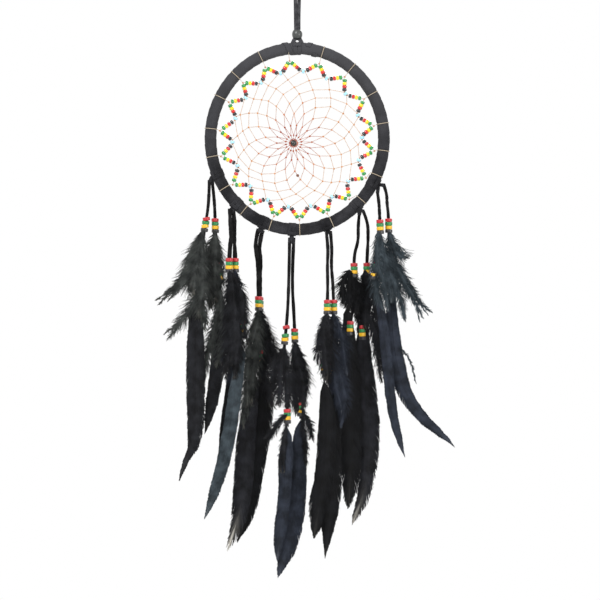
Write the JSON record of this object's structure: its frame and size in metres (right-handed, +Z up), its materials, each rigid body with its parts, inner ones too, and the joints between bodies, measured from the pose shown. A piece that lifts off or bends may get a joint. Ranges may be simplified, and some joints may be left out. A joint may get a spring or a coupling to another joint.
{
  "type": "dream catcher",
  "caption": "Hanging dream catcher: a suede-wrapped hoop with a beaded thread net, and laces with beads and dark feathers below it.",
  "frame": {"origin": "top of the hanging loop's eye, where the nail bears", "axes": "+Z up, +X to the right seen from the front, the front faces -Y"},
  "size_m": [0.2631, 0.0416, 0.5488],
  "materials": {
    "lace": "black suede lace, matte",
    "suede_wrap": "black suede ribbon, matte nap",
    "grey_bead": "rounded grey bead, satin",
    "cane": "bare cane, hidden under the wrap",
    "waxed_thread": "waxed tan to red-brown thread",
    "bead_green": "opaque glass, glossy",
    "bead_yellow": "opaque glass, glossy",
    "bead_red": "opaque glass, glossy",
    "bead_black": "opaque glass, glossy",
    "bead_blue": "opaque glass, glossy",
    "painted_wood": "painted wood, satin; red, green, yellow and black",
    "feather": "dyed feather, near black, slight sheen"
  },
  "bodies": {
    "hanger": {"hang_loop": "lace", "hang_knot": "lace"},
    "hang_bead": {"hang_bead": "grey_bead"},
    "hitch": {"hang_hitch": "lace"},
    "hoop": {"hoop_core": "cane", "hoop_wrap": "suede_wrap", "web_thread": "waxed_thread", "web_anchor_turns": "waxed_thread", "web_beads_green": "bead_green", "web_beads_yellow": "bead_yellow", "web_beads_red": "bead_red", "web_beads_black": "bead_black", "web_beads_blue": "bead_blue", "web_middle_beads": "bead_black", "lace_hitches": "lace"},
    "strand_1a": {"strand_1a_lace": "lace", "strand_1a_beads": "painted_wood", "strand_1a_feathers": "feather"},
    "strand_1b": {"strand_1b_lace": "lace", "strand_1b_beads": "painted_wood", "strand_1b_feathers": "feather"},
    "strand_2a": {"strand_2a_lace": "lace", "strand_2a_beads": "painted_wood", "strand_2a_feathers": "feather"},
    "strand_2b": {"strand_2b_lace": "lace", "strand_2b_beads": "painted_wood", "strand_2b_feathers": "feather"},
    "strand_3a": {"strand_3a_lace": "lace", "strand_3a_beads": "painted_wood", "strand_3a_feathers": "feather"},
    "strand_3b": {"strand_3b_lace": "lace", "strand_3b_beads": "painted_wood", "strand_3b_feathers": "feather"},
    "strand_4a": {"strand_4a_lace": "lace", "strand_4a_beads": "painted_wood", "strand_4a_feathers": "feather"},
    "strand_4b": {"strand_4b_lace": "lace", "strand_4b_beads": "painted_wood", "strand_4b_feathers": "feather"},
    "strand_5a": {"strand_5a_lace": "lace", "strand_5a_beads": "painted_wood", "strand_5a_feathers": "feather"},
    "strand_5b": {"strand_5b_lace": "lace", "strand_5b_beads": "painted_wood", "strand_5b_feathers": "feather"},
    "strand_6a": {"strand_6a_lace": "lace", "strand_6a_beads": "painted_wood", "strand_6a_feathers": "feather"},
    "strand_6b": {"strand_6b_lace": "lace", "strand_6b_beads": "painted_wood", "strand_6b_feathers": "feather"},
    "strand_7a": {"strand_7a_lace": "lace", "strand_7a_beads": "painted_wood", "strand_7a_feathers": "feather"},
    "strand_7b": {"strand_7b_lace": "lace", "strand_7b_beads": "painted_wood", "strand_7b_feathers": "feather"},
    "loose_bead_1b": {"loose_bead_1b": "painted_wood"},
    "loose_bead_4a": {"loose_bead_4a": "painted_wood"},
    "loose_beads_7a": {"loose_beads_7a": "painted_wood"}
  },
  "joints": [
    {"name": "hang_bead_slide", "type": "slide", "parent": "hanger", "child": "hang_bead", "axis": [0, 0, 1], "range_m": [0, 0.024]},
    {"name": "hoop_twist", "type": "hinge", "parent": "hanger", "child": "hitch", "pos_m": [0, 0, -0.0598], "axis": [0, 0, 1], "range_deg": [-180, 180]},
    {"name": "hoop_tilt", "type": "hinge", "parent": "hitch", "child": "hoop", "pos_m": [0, 0, -0.067], "axis": [1, 0, 0], "range_deg": [-30, 30]},
    {"name": "strand_1a_sway", "type": "hinge", "parent": "hoop", "child": "strand_1a", "pos_m": [-0.079, -0.0018, -0.1855], "axis": [0, 1, 0], "range_deg": [-5, 5]},
    {"name": "strand_1b_sway", "type": "hinge", "parent": "hoop", "child": "strand_1b", "pos_m": [-0.0765, 0.0018, -0.1873], "axis": [0, 1, 0], "range_deg": [-5, 5]},
    {"name": "strand_2a_sway", "type": "hinge", "parent": "hoop", "child": "strand_2a", "pos_m": [-0.0605, -0.0042, -0.2115], "axis": [0, 1, 0], "range_deg": [-5, 5]},
    {"name": "strand_2b_sway", "type": "hinge", "parent": "hoop", "child": "strand_2b", "pos_m": [-0.0573, -0.004, -0.214], "axis": [0, 1, 0], "range_deg": [-5, 5]},
    {"name": "strand_3a_sway", "type": "hinge", "parent": "hoop", "child": "strand_3a", "pos_m": [-0.0347, 0.004, -0.2293], "axis": [0, 1, 0], "range_deg": [-5, 5]},
    {"name": "strand_3b_sway", "type": "hinge", "parent": "hoop", "child": "strand_3b", "pos_m": [-0.0311, 0.004, -0.2307], "axis": [0, 1, 0], "range_deg": [-5, 5]},
    {"name": "strand_4a_sway", "type": "hinge", "parent": "hoop", "child": "strand_4a", "pos_m": [-0.0068, -0.0012, -0.2372], "axis": [0, 1, 0], "range_deg": [-5, 5]},
    {"name": "strand_4b_sway", "type": "hinge", "parent": "hoop", "child": "strand_4b", "pos_m": [-0.003, 0.0012, -0.2372], "axis": [0, 1, 0], "range_deg": [-5, 5]},
    {"name": "strand_5a_sway", "type": "hinge", "parent": "hoop", "child": "strand_5a", "pos_m": [0.0261, -0.004, -0.2326], "axis": [0, 1, 0], "range_deg": [-5, 5]},
    {"name": "strand_5b_sway", "type": "hinge", "parent": "hoop", "child": "strand_5b", "pos_m": [0.0297, -0.004, -0.2314], "axis": [0, 1, 0], "range_deg": [-5, 5]},
    {"name": "strand_6a_sway", "type": "hinge", "parent": "hoop", "child": "strand_6a", "pos_m": [0.0561, 0.004, -0.2148], "axis": [0, 1, 0], "range_deg": [-5, 5]},
    {"name": "strand_6b_sway", "type": "hinge", "parent": "hoop", "child": "strand_6b", "pos_m": [0.0589, 0.004, -0.2122], "axis": [0, 1, 0], "range_deg": [-5, 5]},
    {"name": "strand_7a_sway", "type": "hinge", "parent": "hoop", "child": "strand_7a", "pos_m": [0.072, -0.0016, -0.1957], "axis": [0, 1, 0], "range_deg": [-5, 5]},
    {"name": "strand_7b_sway", "type": "hinge", "parent": "hoop", "child": "strand_7b", "pos_m": [0.0776, 0.0016, -0.1889], "axis": [0, 1, 0], "range_deg": [-5, 5]},
    {"name": "loose_bead_1b_slide", "type": "slide", "parent": "strand_1b", "child": "loose_bead_1b", "axis": [-0.04, 0, 0.9992], "range_m": [-0.0068, 0.004]},
    {"name": "loose_bead_4a_slide", "type": "slide", "parent": "strand_4a", "child": "loose_bead_4a", "axis": [0.1053, 0, 0.9944], "range_m": [-0.0038, 0.01]},
    {"name": "loose_beads_7a_slide", "type": "slide", "parent": "strand_7a", "child": "loose_beads_7a", "axis": [0.174, 0, 0.9847], "range_m": [-0.004, 0.005]}
  ]
}
